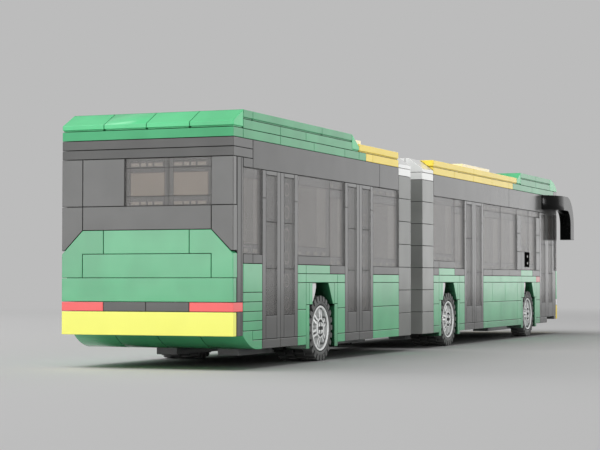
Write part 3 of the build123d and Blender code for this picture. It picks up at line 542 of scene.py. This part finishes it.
# Wheels
class Wheel:
    """Places in a wheel, from the middle of its outer face, in millimetres."""

    def __init__(self, mesh, centre, out):
        self.mesh = mesh
        self.centre = centre
        self.out = out

    def point(self, angle, radius, offset, depth):
        """A point a radius along a line from the middle, offset from that line."""
        x = radius * math.cos(angle) - offset * math.sin(angle)
        z = radius * math.sin(angle) + offset * math.cos(angle)
        return self.centre + Vector((x, -self.out * depth, z)) * MM

    def lathe(self, profile, steps, first=0, last=360):
        """A profile turned around the axle. Columns: radius, depth."""
        full = last - first == 360
        rings = []
        for step in range(steps if full else steps + 1):
            angle = math.radians(first + (last - first) * step / steps)
            rings.append([self.point(angle, radius, 0, depth) for radius, depth in profile])
        add_skin(self.mesh, rings, full)

    def bar(self, angle, sections):
        """Columns: radius, offset from the bar's line, half width, front depth, back depth."""
        rings = [
            [self.point(angle, radius, offset + half, depth) for half, depth in (
                (-width, front), (width, front), (width, back), (-width, back))]
            for radius, offset, width, front, back in sections]
        add_skin(self.mesh, rings, False)


def add_tyre(wheel):
    """A tyre with two staggered rows of lugs."""
    inner_side = [(radius, TYRE_WIDTH - depth) for radius, depth in reversed(TYRE_SHOULDER)]
    wheel.lathe([*TYRE_SHOULDER, *inner_side], TYRE_STEPS)
    for row, (first, last) in enumerate(LUG_ROWS):
        sections = [
            (radius, 0, half, first * TYRE_WIDTH + inset, last * TYRE_WIDTH - inset)
            for radius, half, inset in LUG_SECTIONS]
        for lug in range(LUG_COUNT):
            wheel.bar(2 * math.pi * (lug + row / 2) / LUG_COUNT, sections)


def add_rim(wheel, phase):
    """A rim with double spokes and a hub open around the axle's cross."""
    for profile, first, last in RIM_LATHES:
        wheel.lathe(profile, RIM_STEPS, first, last)
    turn = math.asin(CROSS_ARM / CROSS_REACH)
    corner = [(CROSS_ARM, CROSS_ARM)]
    for step in range(CROSS_STEPS + 1):
        angle = turn + (math.pi / 2 - 2 * turn) * step / CROSS_STEPS
        corner.append((CROSS_REACH * math.cos(angle), CROSS_REACH * math.sin(angle)))
    for quarter in range(4):
        rings = [
            [wheel.point(quarter * math.pi / 2, x * scale, z * scale, depth) for x, z in corner]
            for depth, scale in CROSS_LAYERS]
        add_skin(wheel.mesh, rings, False)
    for spoke in range(SPOKE_COUNT):
        angle = math.radians(phase + 360 * spoke / SPOKE_COUNT)
        for side in (-1, 1):
            wheel.bar(angle, [(radius, side * offset, *rest) for radius, offset, *rest in SPOKE_SIDES])
        for sections in SPOKE_WEBS:
            wheel.bar(angle, sections)


def add_wheels(axle):
    for kind, name in (("tyres", "tread_tyres"), ("rims", "spoked_rims")):
        node = f"{axle}_{kind}"
        mesh = bmesh.new()
        for low, high in solid_boxes(node):
            out = 1 if low.y > 0 else -1
            outer = high.y if out > 0 else low.y
            if kind == "rims":
                outer += out * SEAM
            wheel = Wheel(mesh, Vector(((low.x + high.x) / 2, outer, (low.z + high.z) / 2)), out)
            if kind == "rims":
                add_rim(wheel, WHEEL_PHASES[axle])
            else:
                add_tyre(wheel)
        add_piece(f"{axle}_{name}", mesh, [MATERIALS[SLOTS[node]]], node)


# Setting
def backdrop_share(shader):
    """1 for rays that show the backdrop: from the camera, off gloss or through clear pieces."""
    path = shader.add("ShaderNodeLightPath").outputs
    seen = path["Is Camera Ray"]
    for ray in ("Is Glossy Ray", "Is Transmission Ray"):
        seen = shader.join(seen, path[ray], "MAXIMUM")
    return seen


def add_floor():
    """Pale floor that turns into the even backdrop away from the model."""
    mesh = bpy.data.meshes.new("floor")
    corners = [(x * FLOOR_REACH, y * FLOOR_REACH, 0) for x, y in ((-1, -1), (1, -1), (1, 1), (-1, 1))]
    mesh.from_pydata(corners, [], [(0, 1, 2, 3)])
    floor = bpy.data.objects.new("floor", mesh)
    bpy.context.scene.collection.objects.link(floor)
    material = bpy.data.materials.new("floor_paper")
    shader = Shader(material)
    place = shader.add("ShaderNodeTexCoord").outputs["Object"]
    grain = shader.add("ShaderNodeTexNoise", {"Vector": place, "Scale": FLOOR_GRAIN_SCALE}).outputs["Fac"]
    paper = shader.add("ShaderNodeBsdfPrincipled", {
        "Base Color": shader.spread(grain, *FLOOR_TONES), "Roughness": 1.0,
        "Specular IOR Level": 0.0}).outputs[0]
    distance = shader.add("ShaderNodeVectorMath", {0: place}, operation="LENGTH").outputs["Value"]
    far = shader.add(
        "ShaderNodeMapRange", {"Value": distance, "From Min": FLOOR_FADE[0], "From Max": FLOOR_FADE[1]},
        interpolation_type="SMOOTHSTEP").outputs[0]
    even = shader.add(
        "ShaderNodeEmission", {"Color": linear(*BACKDROP_TONE), "Strength": backdrop_share(shader)}).outputs[0]
    surface = shader.add("ShaderNodeMixShader", {0: far, 1: paper, 2: even}).outputs[0]
    shader.add("ShaderNodeOutputMaterial", {"Surface": surface})
    mesh.materials.append(material)
    return floor


def add_backdrop():
    """An even backdrop that gives the model only a little light."""
    world = bpy.data.worlds.new("studio")
    bpy.context.scene.world = world
    shader = Shader(world)
    backdrop = shader.add("ShaderNodeBackground", {"Color": linear(*BACKDROP_TONE)}).outputs[0]
    sky = shader.add("ShaderNodeBackground", {"Color": (1, 1, 1, 1), "Strength": SKY_STRENGTH}).outputs[0]
    mix = shader.add("ShaderNodeMixShader", {0: backdrop_share(shader), 1: sky, 2: backdrop}).outputs[0]
    shader.add("ShaderNodeOutputWorld", {"Surface": mix})


def add_lamp(name, place, target, size, power):
    """A square soft lamp aimed at a point."""
    data = bpy.data.lights.new(name, "AREA")
    data.shape = "SQUARE"
    data.size = size
    data.energy = power
    lamp = bpy.data.objects.new(name, data)
    lamp.location = place
    lamp.rotation_euler = (Vector(target) - Vector(place)).to_track_quat("-Z", "Y").to_euler()
    bpy.context.scene.collection.objects.link(lamp)
    return lamp


def spare(pieces, lamp):
    """Keeps a lamp's light off some pieces."""
    spared = bpy.data.collections.new(f"{lamp.name}_spares")
    for piece in pieces:
        spared.objects.link(piece)
    for entry in spared.collection_objects:
        entry.light_linking.link_state = "EXCLUDE"
    lamp.light_linking.receiver_collection = spared


def add_camera():
    """The photograph's viewpoint."""
    data = bpy.data.cameras.new("camera")
    data.lens = CAMERA_LENS
    data.sensor_fit = "HORIZONTAL"
    data.sensor_width = SENSOR_WIDTH
    data.clip_start = 0.01
    data.clip_end = 100
    camera = bpy.data.objects.new("camera", data)
    camera.location = CAMERA_PLACE
    turn = Matrix.Rotation(math.radians(CAMERA_YAW - 90), 4, "Z")
    tilt = Matrix.Rotation(math.radians(90 + CAMERA_PITCH), 4, "X")
    roll = Matrix.Rotation(math.radians(CAMERA_ROLL), 4, "Z")
    camera.rotation_euler = (turn @ tilt @ roll).to_euler()
    bpy.context.scene.collection.objects.link(camera)
    bpy.context.scene.camera = camera


dress_nodes()
for section in ("rear", "front"):
    add_windows(f"{section}_windows")
    add_strips(f"{section}_clear_strips")
    add_door_panes(f"{section}_door_panes")
add_tail_windows()
add_button()
for axle in WHEEL_PHASES:
    add_wheels(axle)

floor = add_floor()
add_backdrop()
roofs = [piece for name, piece in frame["nodes"].items() if "_roof_" in name and "slopes" not in name]
others = [piece for piece in bpy.context.scene.objects if piece.type == "MESH" and piece not in roofs]

# Low lamps spare the floor, so the shade under the model stays deep. The roofs would mirror the
# lamp behind them as white, so a second one in its place lights them without showing in gloss.
LAMPS = [
    # name, place, target, size, power, pieces that it spares, whether gloss shows it
    ("behind", (-1.9, 0.85, 0.72), (-0.2, 0, 0.06), 1.6, 18.5, (floor, *roofs), True),
    ("behind_roofs", (-1.9, 0.85, 0.72), (-0.2, 0, 0.06), 1.6, 26, others, False),
    ("above", (-0.9, 0.3, 2.0), (-0.1, 0, 0), 1.6, 20, (), True),
    ("left_high", (0.1, 1.5, 1.3), (0, 0, 0), 1.6, 13, (), True),
    ("right_low", (-0.2, -2.4, 0.3), (0, 0, 0.04), 0.6, 16, (floor,), True),
    ("near_camera", (-1.4, -1.5, 0.6), (0, 0, 0.04), 1.0, 13, (floor,), True),
    ("ahead", (2.6, -1.2, 0.6), (0, -0.03, 0.04), 1.8, 10, (), True),
]
for name, place, target, size, power, spared, glossy in LAMPS:
    lamp = add_lamp(name, place, target, size, power)
    lamp.visible_glossy = glossy
    spare(spared, lamp)
add_camera()
bpy.context.scene.view_settings.view_transform = "Standard"
